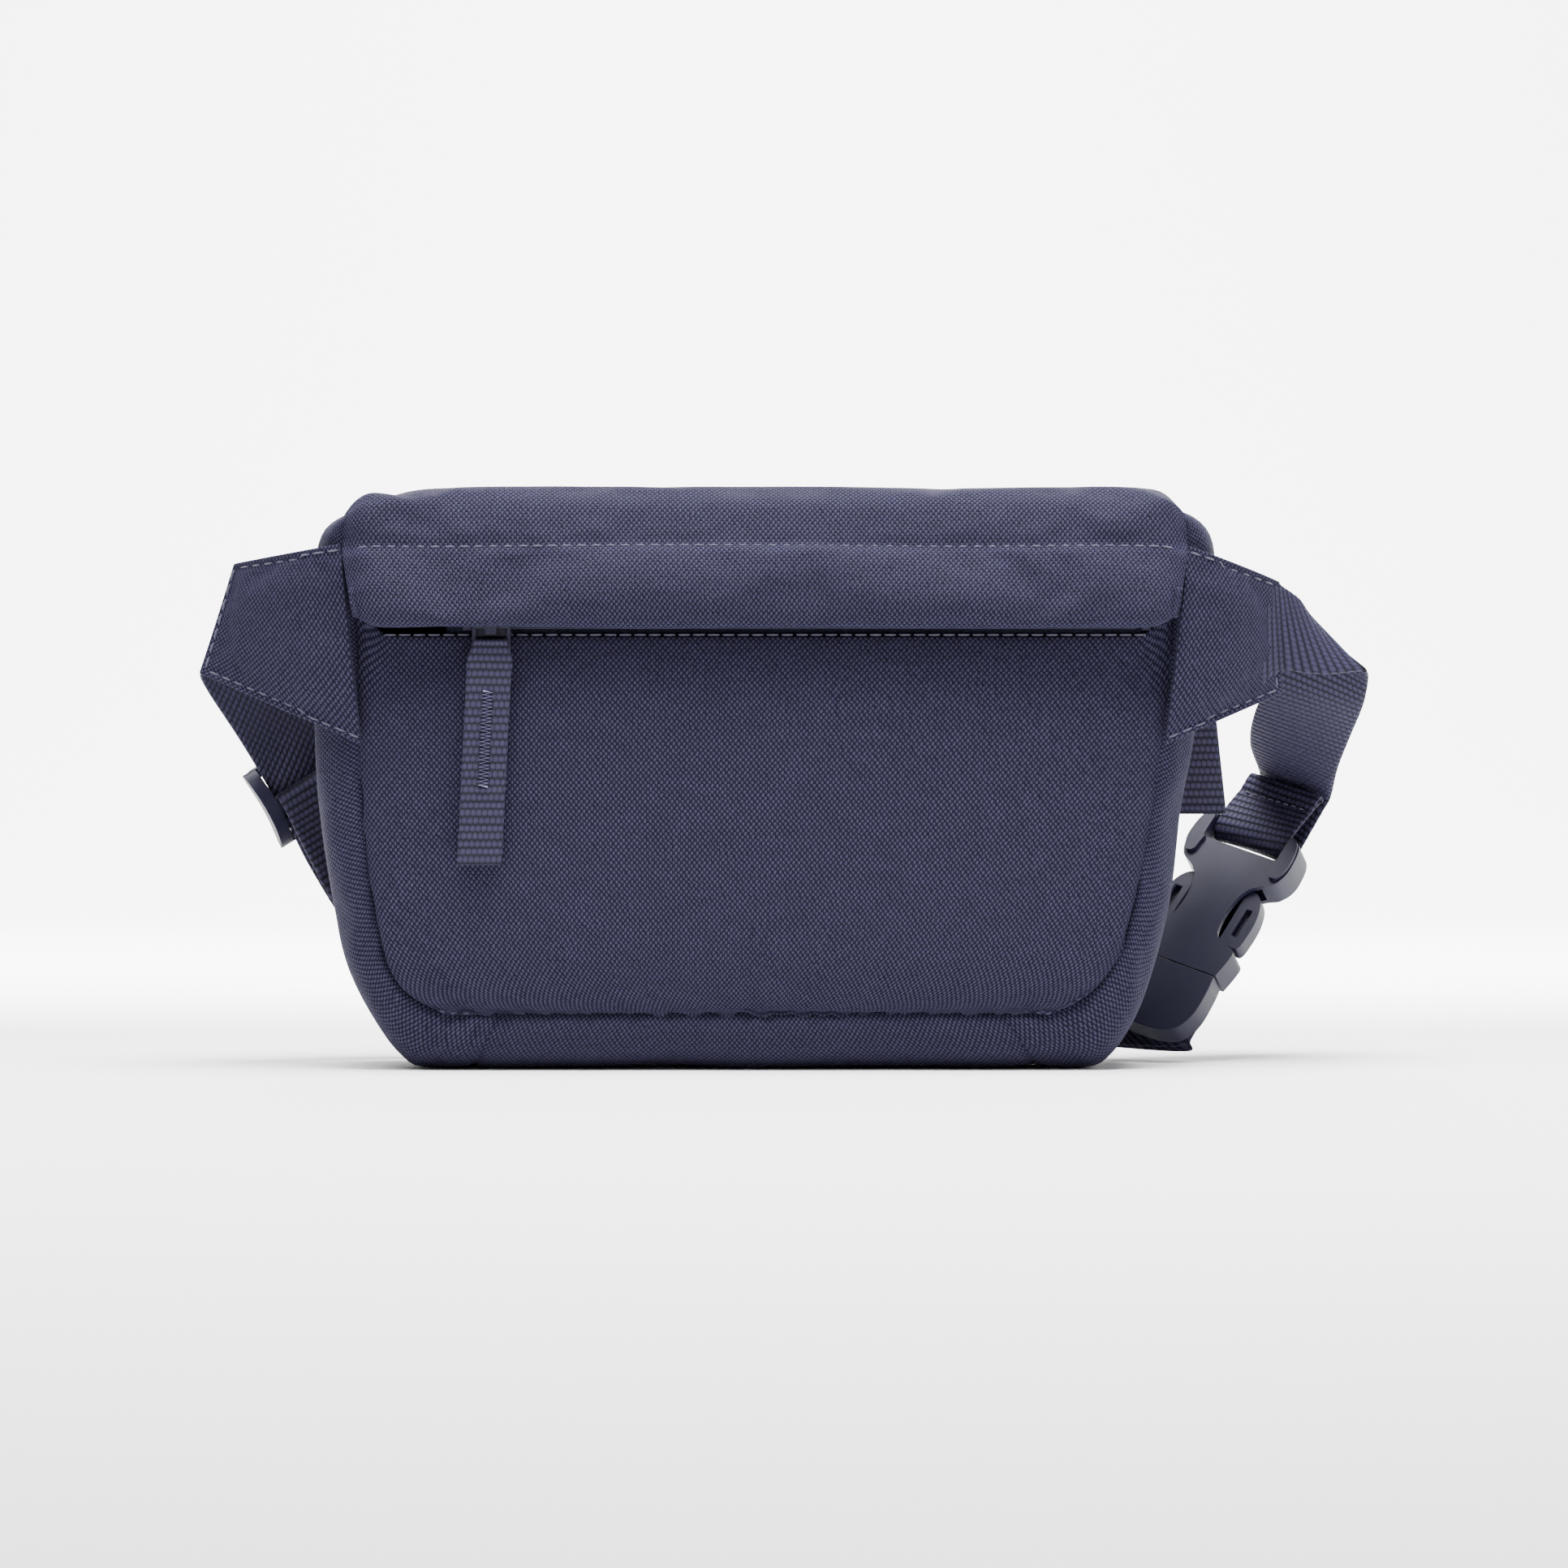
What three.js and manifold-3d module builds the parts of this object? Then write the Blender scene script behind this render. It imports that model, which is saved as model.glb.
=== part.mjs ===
// Waist pack: a sewn fabric pouch with a covered zip, padded hip wings and a webbing belt
// that is clasped behind the pouch with a side-release buckle. Millimetres, +Z up, front towards -Y.
// The origin is the middle of the flat base that the pouch stands on.
import * as THREE from "three";
import { mergeVertices } from "three/addons/utils/BufferGeometryUtils.js";
import Module from "manifold-3d";

const wasm = await Module();
wasm.setup();

// ---- driving dimensions ----
const webbingWidth = 25;
const webbingThickness = 1.4;
const fabricThickness = 1.6;
const frontSeamY = -27;
const backSeamY = 28;
const gussetTopZ = 150;
const zipCentreZ = 127.5;
const zipLeftX = -84;
const zipRightX = 108;
const sliderX = -77;
const frontPanelTopZ = 121.8;
const stitchLineZ = 148.6;
const flapLowerZ = 124.4;
const topZ = 164;
const gap = 0.4;
const panelInset = 2.6;

const vec = (x, y, z) => new THREE.Vector3(x, y, z);
const pack = new THREE.Group();

// ---- materials ----
const canvas = new THREE.MeshStandardMaterial({ color: 0x34335a, roughness: 0.85, metalness: 0 });
const webbing = new THREE.MeshStandardMaterial({ color: 0x2f2e52, roughness: 0.8, metalness: 0 });
const plastic = new THREE.MeshStandardMaterial({ color: 0x35355a, roughness: 0.5, metalness: 0 });
const lining = new THREE.MeshStandardMaterial({ color: 0x24243a, roughness: 0.9, metalness: 0 });
const foam = new THREE.MeshStandardMaterial({ color: 0x3a3a40, roughness: 1, metalness: 0 });
const zipper = new THREE.MeshStandardMaterial({ color: 0x26264a, roughness: 0.6, metalness: 0 });

function add(name, geometry, material, parent = pack) {
  const mesh = new THREE.Mesh(geometry, material);
  mesh.name = name;
  parent.add(mesh);
  return mesh;
}

// ---- booleans ----
function solid(geometry) {
  const plain = geometry.index ? geometry.toNonIndexed() : geometry.clone();
  plain.deleteAttribute("normal");
  plain.deleteAttribute("uv");
  const merged = mergeVertices(plain, 1e-3);
  return new wasm.Manifold(
    new wasm.Mesh({
      numProp: 3,
      vertProperties: merged.attributes.position.array,
      triVerts: new Uint32Array(merged.index.array),
    }),
  );
}

function geometryOf(manifold) {
  const mesh = manifold.getMesh();
  const geometry = new THREE.BufferGeometry();
  geometry.setAttribute("position", new THREE.BufferAttribute(mesh.vertProperties, 3));
  geometry.setIndex(new THREE.BufferAttribute(mesh.triVerts, 1));
  return geometry;
}

const join = (...parts) => geometryOf(parts.map(solid).reduce((a, b) => a.add(b)));
const cut = (body, ...tools) => geometryOf(tools.map(solid).reduce((a, b) => a.subtract(b), solid(body)));

// A box with its corners at low and high.
function block(low, high) {
  const [a, b] = [vec(...low), vec(...high)];
  const size = b.clone().sub(a);
  const middle = a.add(b).multiplyScalar(0.5);
  return new THREE.BoxGeometry(size.x, size.y, size.z).translate(middle.x, middle.y, middle.z);
}

// A box bent onto a surface: place(u, v) is the surface, and the sheet is thickness thick about it,
// moved off it by offset along its normal. thin(u) scales both.
function bentSheet(place, along, across, thickness, offset = 0, thin = () => 1) {
  const sheet = new THREE.BoxGeometry(1, 1, 1, along, across, 1);
  const position = sheet.attributes.position;
  const step = 1e-3;
  for (let i = 0; i < position.count; i++) {
    const u = position.getX(i) + 0.5;
    const v = position.getY(i) + 0.5;
    const clamped = (x) => Math.min(1, Math.max(0, x));
    const [u0, u1, v0, v1] = [u - step, u + step, v - step, v + step].map(clamped);
    const alongU = place(u1, v).sub(place(u0, v));
    const alongV = place(u, v1).sub(place(u, v0));
    const normal = alongU.cross(alongV).normalize();
    const height = (offset + position.getZ(i) * thickness) * thin(u);
    const point = place(u, v).addScaledVector(normal, height);
    position.setXYZ(i, point.x, point.y, point.z);
  }
  return sheet;
}

// ---- the pouch's outlines, seen from the front: straight sides, soft corners, flat foot ----
const frontOutline = { topHalf: 118.7, baseHalf: 104.8, baseZ: 16.3, corner: 24, bulge: 0 };
const middleOutline = { topHalf: 126, baseHalf: 108, baseZ: 0, corner: 24, bulge: 5.6 };
const backOutline = { topHalf: 120, baseHalf: 103, baseZ: 4, corner: 26, bulge: 4 };
const cornerStart = 0.4;
const cornerEnd = 0.55;
const mitreGap = 0.004;

// A point on an outline's left half: t is 0 at the top, 1 at the middle of the foot.
function outlinePoint(outline, t) {
  const top = new THREE.Vector2(-outline.topHalf, gussetTopZ);
  const corner = new THREE.Vector2(-outline.baseHalf, outline.baseZ);
  const side = top.clone().sub(corner).setLength(outline.corner).add(corner);
  const foot = new THREE.Vector2(corner.x + outline.corner, corner.y);
  if (t <= cornerStart) {
    const share = t / cornerStart;
    const point = top.lerp(side, share);
    point.x -= outline.bulge * Math.sin(Math.PI * share);
    return point;
  }
  if (t <= cornerEnd) {
    const share = (t - cornerStart) / (cornerEnd - cornerStart);
    return new THREE.QuadraticBezierCurve(side, corner, foot).getPoint(share);
  }
  return foot.lerp(new THREE.Vector2(0, outline.baseZ), (t - cornerEnd) / (1 - cornerEnd));
}

// The gusset's outer surface: turn runs from 0 at the front seam to 1 at the back seam.
function gussetPoint(t, turn) {
  const angle = Math.PI * turn;
  const depth = (1 - Math.cos(angle)) / 2;
  const mirrored = t > 1;
  const at = mirrored ? 2 - t : t;
  const edge = outlinePoint(frontOutline, at).lerp(outlinePoint(backOutline, at), depth);
  const point = edge.lerp(outlinePoint(middleOutline, at), Math.min(1, 1.5 * Math.sin(angle)));
  const y = frontSeamY + (backSeamY - frontSeamY) * depth;
  return vec(mirrored ? -point.x : point.x, y, point.y);
}

function gussetPanel(name, from, to, along) {
  const place = (u, v) => gussetPoint(from + (to - from) * u, v);
  add(name, bentSheet(place, along, 10, fabricThickness, fabricThickness / 2), canvas);
}

// ---- front and back panels ----
// Half the front outline's width at a height.
function halfWidth(outline, z) {
  let [low, high] = [0, cornerEnd];
  for (let i = 0; i < 30; i++) {
    const middle = (low + high) / 2;
    if (outlinePoint(outline, middle).y > z) low = middle;
    else high = middle;
  }
  return -outlinePoint(outline, low).x;
}

// A panel inside an outline, from its foot to topEdge, crowned out by crown(u, v) along +y.
function panelSurface(outline, topEdge, seamY, crown, facing) {
  const foot = outline.baseZ + panelInset;
  return (u, v) => {
    const z = foot + (topEdge - foot) * (1 - Math.cos((Math.PI / 2) * v));
    const half = halfWidth(outline, z) - panelInset;
    const x = half * (2 * u - 1);
    return vec(facing * x, seamY + facing * crown(2 * u - 1, v), z);
  };
}

const frontCrown = (x, v) => -(1 - x ** 4) * (v + 2.2 * Math.sin(Math.PI * v));
const flat = () => 0;

function addPanels() {
  const front = panelSurface(frontOutline, frontPanelTopZ, frontSeamY, frontCrown, 1);
  add("front_panel", bentSheet(front, 12, 10, fabricThickness, -fabricThickness / 2), canvas);
  const back = panelSurface(backOutline, gussetTopZ - gap, backSeamY, flat, -1);
  add("back_panel", bentSheet(back, 8, 8, fabricThickness, -fabricThickness / 2), canvas);
  const padOutline = { ...backOutline, baseHalf: 96, topHalf: 112, baseZ: 14 };
  const padSurface = panelSurface(padOutline, 144, 23.4, flat, -1);
  add("back_foam_pad", bentSheet(padSurface, 8, 8, 4), foam);
}

// ---- top panel and the flap that hangs from it over the zip ----
const flapHalf = (z) => 115.8 + (z - flapLowerZ) * 0.13;

function topSurface(u, v) {
  const end = 2 * u - 1;
  const x = 123 * end;
  const turn = Math.PI * (0.02 + 0.96 * v);
  const rise = Math.sin(turn) ** 0.6 * Math.min(1, (1 - Math.abs(end)) * 14) ** 0.5;
  return vec(x, -2 - 30 * Math.cos(turn), gussetTopZ + 1.2 + (topZ - gussetTopZ - 1.2) * rise);
}

function addTop() {
  add("top_panel", bentSheet(topSurface, 14, 10, fabricThickness, -fabricThickness / 2), canvas);
  const flap = (u, v) => {
    const z = flapLowerZ + (stitchLineZ - flapLowerZ) * v;
    return vec(flapHalf(z) * (2 * u - 1), -34.1 - 1.6 * Math.sin(Math.PI * v) ** 0.7, z);
  };
  add("storm_flap", bentSheet(flap, 10, 5, 2.2), canvas);
  const facing = (u, v) => vec(-110 + 220 * u, -27.6 - 1.6 * v, zipCentreZ + 6.8 + 13 * v);
  add("zip_facing", bentSheet(facing, 6, 2, 1.2), canvas);
}

// ---- zip: two tapes, two coils, end stops, a slider and its webbing pull ----
const coilHeight = 2;
const coilGap = 1.6;

function addZip() {
  for (const [name, side] of [["lower", -1], ["upper", 1]]) {
    const near = zipCentreZ + side * 1.3;
    const far = zipCentreZ + side * 12;
    const tapeLow = Math.min(near, far);
    const tapeHigh = Math.max(near, far);
    add(`zip_tape_${name}`, block([zipLeftX - 6, -25, tapeLow], [zipRightX + 4, -24.4, tapeHigh]), zipper);
    const inner = zipCentreZ + (side * coilGap) / 2;
    const outer = inner + side * coilHeight;
    const coilLow = Math.min(inner, outer);
    const coilHigh = Math.max(inner, outer);
    add(`zip_coil_${name}`, block([zipLeftX + 3, -27.6, coilLow], [zipRightX - 3, -25.4, coilHigh]), zipper);
  }
  for (const [name, x] of [["left", zipLeftX], ["right", zipRightX]]) {
    const stop = block([x - 1.2, -27.6, zipCentreZ - 3.2], [x + 1.2, -25.4, zipCentreZ - 0.6]);
    add(`zip_stop_${name}`, stop, plastic);
  }
}

const sliderLength = 11;
const bridgeBarZ = 125.3;
const bridgeBarY = -30.35;

function addSlider() {
  const half = sliderLength / 2;
  const front = block([-half, -29.4, -5], [half, -28.2, 5]);
  const rear = block([-half, -23.9, -4.4], [half, -22.9, 4.4]);
  const post = block([-half, -28.6, -0.45], [-half + 3, -23.6, 0.45]);
  const flanges = [-4.6, 3.6].map((z) => block([-half, -28.4, z], [half, -26.6, z + 1]));
  const archOutside = block([-1.6, -32.4, -4.6], [1.6, -29.2, 2.6]);
  const archInside = block([-3, -31.3, -3.4], [3, -29.41, 1.4]);
  const bridge = cut(archOutside, archInside);
  const body = join(front, rear, post, ...flanges, bridge).translate(sliderX, 0, zipCentreZ);
  add("zip_slider", body, plastic);

  const link = cut(
    block([-5.4, bridgeBarY - 0.6, -6.6], [5.4, bridgeBarY + 0.6, 0.6]),
    block([-4.2, bridgeBarY - 2, -5.2], [4.2, bridgeBarY + 2, -0.6]),
  ).translate(sliderX, 0, bridgeBarZ);
  add("pull_link", link, plastic);
}

// The pull is a folded strip of narrow webbing that hangs from the link and leans a little to the left.
const pullWidth = 12.8;
const pullTopZ = 122;
const pullBottomZ = 57.7;

function addPull() {
  const place = (u, v) => {
    const z = pullBottomZ + (pullTopZ - pullBottomZ) * v;
    const lean = -3.2 * (1 - v);
    const narrow = 1 - 0.3 * Math.max(0, (v - 0.93) / 0.07);
    return vec(sliderX + lean + pullWidth * narrow * (u - 0.5), -32.4 - 0.9 * Math.sin(Math.PI * v), z);
  };
  const loop = solid(bentSheet(place, 2, 12, 2.6));
  const throat = solid(block([-9, -31.8, pullTopZ - 3.6], [9, -28, pullTopZ + 3]).translate(sliderX, 0, 0));
  add("pull_tab", geometryOf(loop.subtract(throat)), webbing);
}

// ---- hip wings: a face, a foam core and a backing, sewn to the front seam ----
const wings = {
  left: {
    seamFoot: [-113.8, 92], seamTop: [-119.4, 148], endFoot: [-161.7, 112.4], endTop: [-151.3, 143.7],
  },
  right: {
    seamFoot: [113.4, 92], seamTop: [119.2, 148], endFoot: [147.8, 106.6], endTop: [147, 139.4],
  },
};
const wingSeamY = -29.8;
const wingSweep = 17.4;

function wingPoint(wing, u, v) {
  const root = new THREE.Vector2(...wing.seamFoot).lerp(new THREE.Vector2(...wing.seamTop), v);
  const end = new THREE.Vector2(...wing.endFoot).lerp(new THREE.Vector2(...wing.endTop), v);
  const point = root.lerp(end, u);
  return vec(point.x, wingSeamY + wingSweep * u ** 1.5, point.y);
}

const wingThin = (u) => 0.45 + 0.55 * Math.min(1, u * 5);

function addWing(name, wing) {
  // The sheet's normal points to the front on both wings.
  const side = Math.sign(wing.endFoot[0]);
  const layer = (from, to) => (side > 0 ? (u, v) => wingPoint(wing, from + (to - from) * u, v)
    : (u, v) => wingPoint(wing, from + (to - from) * (1 - u), v));
  const thin = (from, to) => (u) => wingThin(from + (to - from) * (side > 0 ? u : 1 - u));
  add(`${name}_face`, bentSheet(layer(0, 1), 8, 5, 1.1, 2.1, thin(0, 1)), canvas);
  add(`${name}_foam`, bentSheet(layer(0.04, 0.7), 6, 4, 2.4, 0, thin(0.04, 0.7)), foam);
  add(`${name}_backing`, bentSheet(layer(0, 1), 8, 5, 1.1, -2.1, thin(0, 1)), lining);
}

// ---- buckle: drawn in its own plane, x across the webbing, y towards the receiver's webbing bar ----
const buckleCentre = vec(129, 40.5, 38.7);
const buckleDown = vec(-0.524, -0.35, -0.777).normalize();
const buckleAcross = vec(0.787, -0.5465, -0.285);
buckleAcross.addScaledVector(buckleDown, -buckleAcross.dot(buckleDown)).normalize();
const buckleNormal = buckleDown.clone().cross(buckleAcross);
const buckleFrame = new THREE.Matrix4()
  .makeBasis(buckleAcross, buckleDown.clone().negate(), buckleNormal)
  .setPosition(buckleCentre);
const inBuckle = (x, y, z) => vec(x, y, z).applyMatrix4(buckleFrame);

function plate(points, thickness) {
  const shape = new THREE.Shape(points.map(([x, y]) => new THREE.Vector2(x, y)));
  const body = new THREE.ExtrudeGeometry(shape, { depth: thickness, bevelEnabled: false });
  return body.translate(0, 0, -thickness / 2);
}

// Points on a smooth curve through the given ones.
function rounded(points, count, closed = false) {
  const line = new THREE.CatmullRomCurve3(points.map(([x, y]) => vec(x, y, 0)), closed, "centripetal");
  return line.getPoints(count).slice(0, closed ? count : count + 1).map((point) => [point.x, point.y]);
}

// The outline whose right side is a rounded line, mirrored about x = 0.
const mirroredOutline = (side, count) => {
  const right = rounded(side, count);
  return [...right, ...right.slice().reverse().map(([x, y]) => [-x, y])];
};

const mouthY = -15.5;
const barThickness = 3.6;

function addBuckle() {
  const buckle = new THREE.Group();
  buckle.applyMatrix4(buckleFrame);
  pack.add(buckle);
  const receiverSide = [
    [15.6, mouthY], [16.5, -10], [16.4, -6.4], [13.2, -4.9], [9, -3], [7.6, 1], [7.6, 8.5],
    [9.4, 14], [12.5, 16.6], [15.8, 18.4], [17.7, 22.5], [17.8, 28], [16.6, 33], [13.2, 35.2],
  ];
  const lobe = [[13.4, 20.4], [15.6, 20], [17.3, 23], [17.5, 28], [16.2, 33], [13.4, 34.6]];
  const mirroredLobe = lobe.map(([x, y]) => [-x, y]).reverse();
  const lobes = [lobe, mirroredLobe].map((outline) => plate(rounded(outline, 20, true), 11.6));
  const barFaces = [barThickness / 2, -barThickness / 2 - 6];
  const barSides = barFaces.map((z) => block([-13, 31.4, z], [13, 40, z + 6]));
  const receiver = cut(
    join(plate(mirroredOutline(receiverSide, 52), 9), ...lobes),
    block([-13, 26.2, -7], [13, 31.6, 7]),
    block([-12.6, mouthY - 1, -2.9], [12.6, 18, 2.9]),
    ...barSides,
  );
  add("buckle_receiver", receiver, plastic, buckle);

  const baseSide = [
    [15.3, mouthY - gap], [16, -21], [16, -30], [13.4, -35.6], [8, -37.8], [2, -38.3],
  ];
  const tongue = block([-2.1, mouthY - 1, -1.8], [2.1, 15, 1.8]);
  const face = plate(mirroredOutline(baseSide, 24), 7.5).translate(0, 0, 0.75);
  const frame = cut(join(face, tongue), block([-12.9, -31.4, -6], [12.9, -19.8, 3.4]));
  const bar = block([-13.2, -26.6, -1.1], [13.2, -24.2, 1.1]);
  add("buckle_clip", join(frame, bar), plastic, buckle);

  const armOutline = [
    [7.7, mouthY + 0.2], [10.9, mouthY + 0.2], [11.9, -4.6], [15.6, -4.4], [16.5, 1], [16.1, 7.5],
    [14.4, 12.4], [11.8, 15], [9.8, 15], [8.8, 12.4], [8.9, -1], [8.3, -8],
  ];
  const slot = [[11.6, -0.6], [13.6, -0.6], [13.6, 9], [11.6, 9]];
  for (const [name, side] of [["left", -1], ["right", 1]]) {
    const turned = (points) => (side > 0 ? points : points.map(([x, y]) => [-x, y]).reverse());
    const outer = plate(turned(rounded(armOutline, 44, true)), 5.2);
    const pockets = [-2.6, 2.6].map((z) => plate(turned(slot), 4).translate(0, 0, z));
    add(`buckle_arm_${name}`, cut(outer, ...pockets), plastic, buckle);
  }
}

// ---- slide adjuster: two arched rails, a centre bar in front of the webbing and end bars behind it ----
const adjusterCentre = vec(-132.9, 31.6, 81);
const adjusterDown = vec(0.43, 0.31, -0.85).normalize();
const adjusterAcross = vec(0.8, 0.3, 0.52);
adjusterAcross.addScaledVector(adjusterDown, -adjusterAcross.dot(adjusterDown)).normalize();
const adjusterNormal = adjusterDown.clone().cross(adjusterAcross);
const adjusterFrame = new THREE.Matrix4()
  .makeBasis(adjusterAcross, adjusterDown.clone().negate(), adjusterNormal)
  .setPosition(adjusterCentre);
const inAdjuster = (x, y, z) => vec(x, y, z).applyMatrix4(adjusterFrame);

const adjusterLength = 25;
const railArch = 4.4;

function addAdjuster() {
  const adjuster = new THREE.Group();
  adjuster.applyMatrix4(adjusterFrame);
  pack.add(adjuster);
  const half = adjusterLength / 2;
  const steps = Array.from({ length: 17 }, (_, i) => -half * Math.cos((Math.PI * i) / 16));
  const arch = (y) => -2.4 + railArch * Math.cos((Math.PI / 2) * (y / half));
  const thick = (y) => 0.15 + 1.75 * Math.sqrt(Math.max(0, 1 - (y / half) ** 4));
  const profile = [
    ...steps.map((y) => [y, arch(y) + thick(y)]),
    ...steps.slice().reverse().map((y) => [y, arch(y) - thick(y)]),
  ];
  const rails = [-1, 1].map((side) => {
    const rail = new THREE.ExtrudeGeometry(
      new THREE.Shape(profile.map(([y, z]) => new THREE.Vector2(y, z))), { depth: 4, bevelEnabled: false });
    rail.applyMatrix4(new THREE.Matrix4().makeBasis(vec(0, 1, 0), vec(0, 0, 1), vec(1, 0, 0)));
    return rail.translate(side > 0 ? webbingWidth / 2 + 0.5 : -webbingWidth / 2 - 4.5, 0, 0);
  });
  const reach = webbingWidth / 2 + 2;
  const endBars = [1.6 - half, half - 1.6].map((y) => block([-reach, y - 1.5, -4], [reach, y + 1.5, -1.9]));
  const centreBar = block([-reach, -1.5, 1.6], [reach, 1.5, 3.6]);
  add("slide_adjuster", join(...rails, ...endBars, centreBar), plastic, adjuster);
}

// ---- webbing: a strap is lofted between its two edges ----
const curve = (points) => new THREE.CatmullRomCurve3(points, false, "centripetal");

// Stations are pairs of points, [one edge, other edge], along the strap.
function strapGeometry(stations, along, across = 1) {
  const edges = [0, 1].map((side) => curve(stations.map((pair) => pair[side])));
  const place = (u, v) => edges[0].getPoint(u).lerp(edges[1].getPoint(u), v);
  return bentSheet(place, along, across, webbingThickness);
}

// The rear run of the belt, foot edge and top edge, from below the adjuster to the buckle's clip.
const rearRun = [
  [vec(-133.4, 38.4, 55), vec(-113.4, 45, 68.4)],
  [vec(-123, 41, 38), vec(-103.5, 46.5, 52.4)],
  [vec(-108, 43, 18.5), vec(-92.5, 47, 37.6)],
  [vec(-82, 43.2, 7), vec(-75, 46.6, 30.8)],
  [vec(-45, 43, 4.2), vec(-43, 46, 28.9)],
  [vec(0, 43.4, 4), vec(0, 46, 28.8)],
  [vec(40, 45, 4.2), vec(39, 46.4, 29)],
  [vec(66, 46, 4.6), vec(63, 46.4, 29)],
  [vec(92, 45, 3.8), vec(84, 48, 23.6)],
];

// The stations of the run again, moved off it by offset along its normal.
function runLayer(offset) {
  const middle = rearRun.map(([foot, top]) => foot.clone().lerp(top, 0.5));
  return rearRun.map(([foot, top], i) => {
    const before = middle[Math.max(0, i - 1)];
    const after = middle[Math.min(middle.length - 1, i + 1)];
    const along = after.clone().sub(before);
    const shift = along.cross(top.clone().sub(foot)).setLength(offset);
    return [foot.clone().add(shift), top.clone().add(shift)];
  });
}

const half = webbingWidth / 2;
const layerOffset = 1.6;
const adjusterStations = (points) =>
  points.map(([y, z]) => [inAdjuster(-half, y, z), inAdjuster(half, y, z)]);
const buckleStations = (points) =>
  points.map(([y, z]) => [inBuckle(half, y, z), inBuckle(-half, y, z)]);

// Where a strap is sewn to a wing: between its layers, or behind them.
const wingStations = (wing, shares, behind, edges = [0.12, 0.88]) =>
  shares.map((u) => edges.map((v) => wingPoint(wing, u, v).add(vec(0, behind, 0))));

function addBelt() {
  const lead = [
    ...wingStations(wings.left, [0.6, 0.8, 0.93], 4.7),
    [vec(-161.6, -5, 112.4), vec(-153, -3.6, 136.6)],
    [vec(-160.6, 2, 107.6), vec(-148.6, 4.6, 129.4)],
    [vec(-153, 14, 94.2), vec(-136.4, 18.6, 112)],
  ];
  const clipLoop = [
    [-36, -8.6], [-32, -8.6], [-25, -7.6], [-21.7, -3.4], [-22.2, 0.7], [-25.4, 2.5], [-28.6, 0.5],
    [-29.7, -2.8], [-32.4, -5.4], [-36, -5.8],
  ];
  const stations = [
    ...lead,
    ...adjusterStations([[9, 0], [0, 0], [-9, 0]]),
    ...runLayer(-layerOffset),
    ...buckleStations(clipLoop),
    ...runLayer(layerOffset).reverse(),
  ];
  add("belt_webbing", strapGeometry(stations, 110), webbing);
  const sewnEnd = [[-23, 3.4], [-16, 3.2], [-9, 4], [-4, 5.2], [0, 5.4], [2.8, 4.4], [2.9, 2.4]];
  add("belt_sewn_end", strapGeometry(adjusterStations(sewnEnd), 12), webbing);
}

// The fixed strap leaves the right wing, folds over on the slant and goes down to the receiver's bar.
// Its end comes round the bar to the front and is hemmed. Its two lengths meet in the fold.
function addFixedStrap() {
  const upper = [
    ...wingStations(wings.right, [0.8], 0),
    ...wingStations(wings.right, [0.98, 1.02], 0, [0.2, 0.97]),
    [vec(160, -8, 112.2), vec(152.4, -8.2, 134.2)],
    [vec(172, -1, 113.4), vec(154.4, -3, 131)],
  ];
  const lower = [
    [vec(173.4, 1.4, 113.4), vec(153.6, -0.4, 129)],
    [vec(174.6, 7, 111), vec(151.4, 4.6, 123)],
    [vec(174, 14, 104), vec(147, 13, 111)],
    [vec(171.6, 28, 94.6), vec(144, 31, 102)],
    [vec(169.4, 41, 85.4), vec(144.4, 50, 93)],
  ];
  const loop = [
    [55.4, -2.6], [50, -3], [42, -3.6], [35.4, -4], [31.2, -3.2], [29.2, 0], [31.2, 3.2], [35.4, 4],
    [42, 3], [51, 0.8],
  ];
  add("fixed_strap_upper", strapGeometry(upper, 12), webbing);
  add("fixed_strap_lower", strapGeometry([...lower, ...buckleStations(loop)], 44), webbing);
}

// A short doubled loop of webbing that hangs from the right back seam, behind the wing.
function addSideLoop() {
  const stations = [
    [30.4, 118], [33, 108], [34.4, 90], [34.8, 76], [36.2, 72.6], [37.6, 76], [37.4, 90], [36, 108],
    [33.4, 118],
  ].map(([y, z]) => [107, 132].map((x) => vec(x + (108 - z) * 0.11, y, z)));
  add("side_loop", strapGeometry(stations, 16), webbing);
}

// ---- inside the pouch: the lining bag and the tapes that bind its seams ----
function insetOutline(outline, inset) {
  return {
    ...outline,
    topHalf: outline.topHalf - inset,
    baseHalf: outline.baseHalf - inset,
    baseZ: outline.baseZ + inset,
    bulge: 0,
  };
}

function outlineSolid(outline, low, high, topEdge) {
  const left = [0, 0.2, 0.4, 0.45, 0.5, 0.55].map((t) => outlinePoint(outline, t));
  left[0].y = topEdge;
  const right = left.slice().reverse().map((p) => new THREE.Vector2(-p.x, p.y));
  const shape = new THREE.Shape([...left, ...right]);
  const body = new THREE.ExtrudeGeometry(shape, { depth: high - low, bevelEnabled: false });
  return body.rotateX(Math.PI / 2).translate(0, high, 0);
}

function addLining() {
  const outline = { ...frontOutline, topHalf: 115, bulge: 0 };
  const outer = outlineSolid(insetOutline(outline, 2.8), frontSeamY + 2.6, 20.4, 112);
  const inner = outlineSolid(insetOutline(outline, 3.6), frontSeamY + 3.4, 19.6, 140);
  add("lining_bag", cut(outer, inner), lining);
}

gussetPanel("side_gusset_left", 0, cornerEnd - mitreGap, 11);
gussetPanel("bottom_gusset", cornerEnd + mitreGap, 2 - cornerEnd - mitreGap, 12);
gussetPanel("side_gusset_right", 2 - cornerEnd + mitreGap, 2, 11);
addPanels();
addTop();
addZip();
addSlider();
addPull();
addWing("wing_left", wings.left);
addWing("wing_right", wings.right);
addBuckle();
addAdjuster();
addBelt();
addFixedStrap();
addSideLoop();
addLining();

export default pack;
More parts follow.
